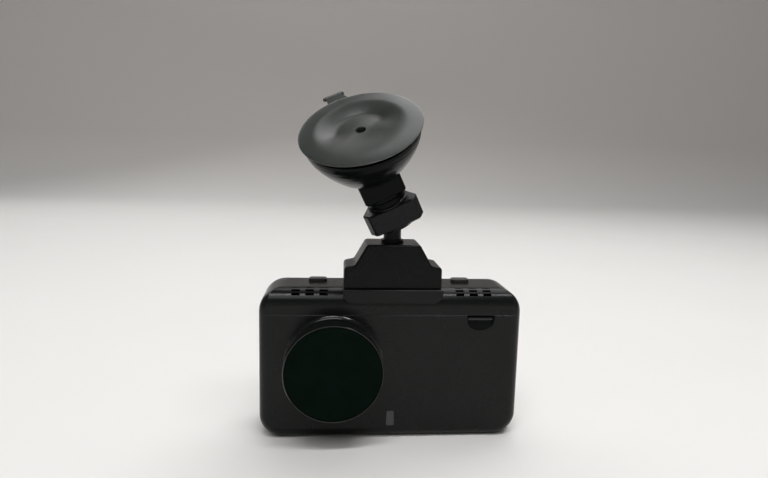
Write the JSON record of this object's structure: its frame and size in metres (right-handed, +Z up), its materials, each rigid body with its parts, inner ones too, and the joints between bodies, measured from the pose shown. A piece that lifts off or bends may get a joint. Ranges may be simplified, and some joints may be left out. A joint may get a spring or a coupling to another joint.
{
  "type": "radar detector",
  "caption": "Dash radar detector with a front camera behind a turning polarising filter, on a magnetic bracket, ball joint and suction cup mount.",
  "frame": {"origin": "centre of the housing's resting face", "axes": "+X right as the driver of the view facing the screen's back sees it, +Y away from the road towards the screen, +Z up"},
  "size_m": [0.107, 0.0543, 0.1416],
  "materials": {
    "charcoal_shell": "satin",
    "bracket_plastic": "satin",
    "key_plastic": "satin",
    "arm_plastic": "satin",
    "nut_plastic": "satin",
    "stud_plastic": "satin",
    "inner_plastic": "matt",
    "cup_rubber": "satin, slightly tacky",
    "ring_metal": "black anodised",
    "hood_black": "matt",
    "filter_glass": "gloss",
    "lens_glass": "gloss, coated",
    "window_plastic": "gloss",
    "screen_glass": "gloss",
    "screen_panel": "gloss",
    "board_green": "solder mask",
    "steel": "satin",
    "plated": "nickel plated",
    "contact_gold": "gold plated",
    "contact_holder": "satin",
    "horn_metal": "cast",
    "battery_wrap": "shrink wrap",
    "speaker_frame": "paper and magnet",
    "ceramic": "ceramic"
  },
  "bodies": {
    "housing": {"front_housing": "charcoal_shell", "rear_housing": "charcoal_shell", "housing_screws": "steel", "sensor_window": "window_plastic", "laser_lens": "window_plastic", "lens_collar": "ring_metal", "lens_hood": "hood_black", "camera_lens": "lens_glass", "lens_barrel": "ring_metal", "lens_holder": "inner_plastic", "image_sensor": "inner_plastic", "cpl_rear_ring": "ring_metal", "main_board": "board_green", "board_screws": "steel", "processor": "inner_plastic", "memory_card_socket": "inner_plastic", "usb_socket": "steel", "backup_battery": "battery_wrap", "key_switches": "steel", "button_switches": "steel", "horn_antenna": "horn_metal", "radar_board": "board_green", "lcd_panel": "screen_panel", "screen_glass": "screen_glass", "speaker": "speaker_frame", "dock_plate": "contact_holder", "dock_contacts": "contact_gold", "dock_magnets": "plated"},
    "polariser": {"cpl_front_ring": "ring_metal", "cpl_glass": "filter_glass"},
    "top_button_left": {"top_button_left": "key_plastic"},
    "top_button_right": {"top_button_right": "key_plastic"},
    "key_left_low": {"key_left_low": "key_plastic"},
    "key_left_high": {"key_left_high": "key_plastic"},
    "key_right_low": {"key_right_low": "key_plastic"},
    "key_right_high": {"key_right_high": "key_plastic"},
    "bracket": {"bracket_shell": "bracket_plastic", "bracket_base": "bracket_plastic", "bracket_screws": "steel", "bracket_magnets": "plated", "contact_pins": "contact_gold", "bracket_board": "board_green", "gps_antenna": "ceramic", "power_jack": "inner_plastic"},
    "ball_stud": {"ball_stud": "stud_plastic", "stud_clip": "steel"},
    "pressure_pad": {"pressure_pad": "inner_plastic"},
    "arm": {"mount_arm": "arm_plastic", "lever_pin": "steel", "suction_rubber": "cup_rubber"},
    "clamp_nut": {"clamp_nut": "nut_plastic"},
    "lock_lever": {"lock_lever": "arm_plastic"},
    "plunger": {"plunger_plate": "inner_plastic", "pull_rod": "inner_plastic", "rod_screw": "steel"}
  },
  "joints": [
    {"name": "filter_turn", "type": "hinge", "parent": "housing", "child": "polariser", "pos_m": [-0.0234, -0.0215, 0.0325], "axis": [0, -1, 0], "continuous": true},
    {"name": "top_button_left_press", "type": "slide", "parent": "housing", "child": "top_button_left", "axis": [0, 0, -1], "range_m": [0, 0.0005], "stiffness_N_per_m": 400, "springref_m": -0.0012},
    {"name": "top_button_right_press", "type": "slide", "parent": "housing", "child": "top_button_right", "axis": [0, 0, -1], "range_m": [0, 0.0005], "stiffness_N_per_m": 400, "springref_m": -0.0012},
    {"name": "key_left_low_press", "type": "slide", "parent": "housing", "child": "key_left_low", "axis": [0, -1, 0], "range_m": [0, 0.0004], "stiffness_N_per_m": 400, "springref_m": -0.0012},
    {"name": "key_left_high_press", "type": "slide", "parent": "housing", "child": "key_left_high", "axis": [0, -1, 0], "range_m": [0, 0.0004], "stiffness_N_per_m": 400, "springref_m": -0.0012},
    {"name": "key_right_low_press", "type": "slide", "parent": "housing", "child": "key_right_low", "axis": [0, -1, 0], "range_m": [0, 0.0004], "stiffness_N_per_m": 400, "springref_m": -0.0012},
    {"name": "key_right_high_press", "type": "slide", "parent": "housing", "child": "key_right_high", "axis": [0, -1, 0], "range_m": [0, 0.0004], "stiffness_N_per_m": 400, "springref_m": -0.0012},
    {"name": "bracket_lift", "type": "slide", "parent": "housing", "child": "bracket", "axis": [0, 0, 1], "range_m": [0, 0.025]},
    {"name": "ball_turn", "type": "hinge", "parent": "bracket", "child": "ball_stud", "pos_m": [0.00015, -0.00195, 0.0925], "axis": [0, 0, 1], "continuous": true},
    {"name": "ball_tilt", "type": "hinge", "parent": "ball_stud", "child": "pressure_pad", "pos_m": [0.00015, -0.00195, 0.0925], "axis": [0.5962, -0.8028, 0], "range_deg": [-63.4, 0]},
    {"name": "arm_roll", "type": "hinge", "parent": "pressure_pad", "child": "arm", "pos_m": [0.00015, -0.00195, 0.0925], "axis": [-0.4219, -0.3133, 0.8508], "continuous": true},
    {"name": "nut_turn", "type": "hinge", "parent": "arm", "child": "clamp_nut", "pos_m": [0.00015, -0.00195, 0.0925], "axis": [-0.4219, -0.3133, 0.8508], "range_deg": [0, 360]},
    {"name": "lever_throw", "type": "hinge", "parent": "arm", "child": "lock_lever", "pos_m": [-0.01013, -0.00647, 0.12026], "axis": [0.9259, -0.3778, 0], "range_deg": [0, 24.05]},
    {"name": "plunger_pull", "type": "slide", "parent": "arm", "child": "plunger", "axis": [0.2279, 0.5585, -0.7976], "range_m": [0, 0.0025]}
  ],
  "couplings": [
    {"joint": "lever_throw", "follows": "plunger_pull", "rad_per_m": 167.88}
  ]
}
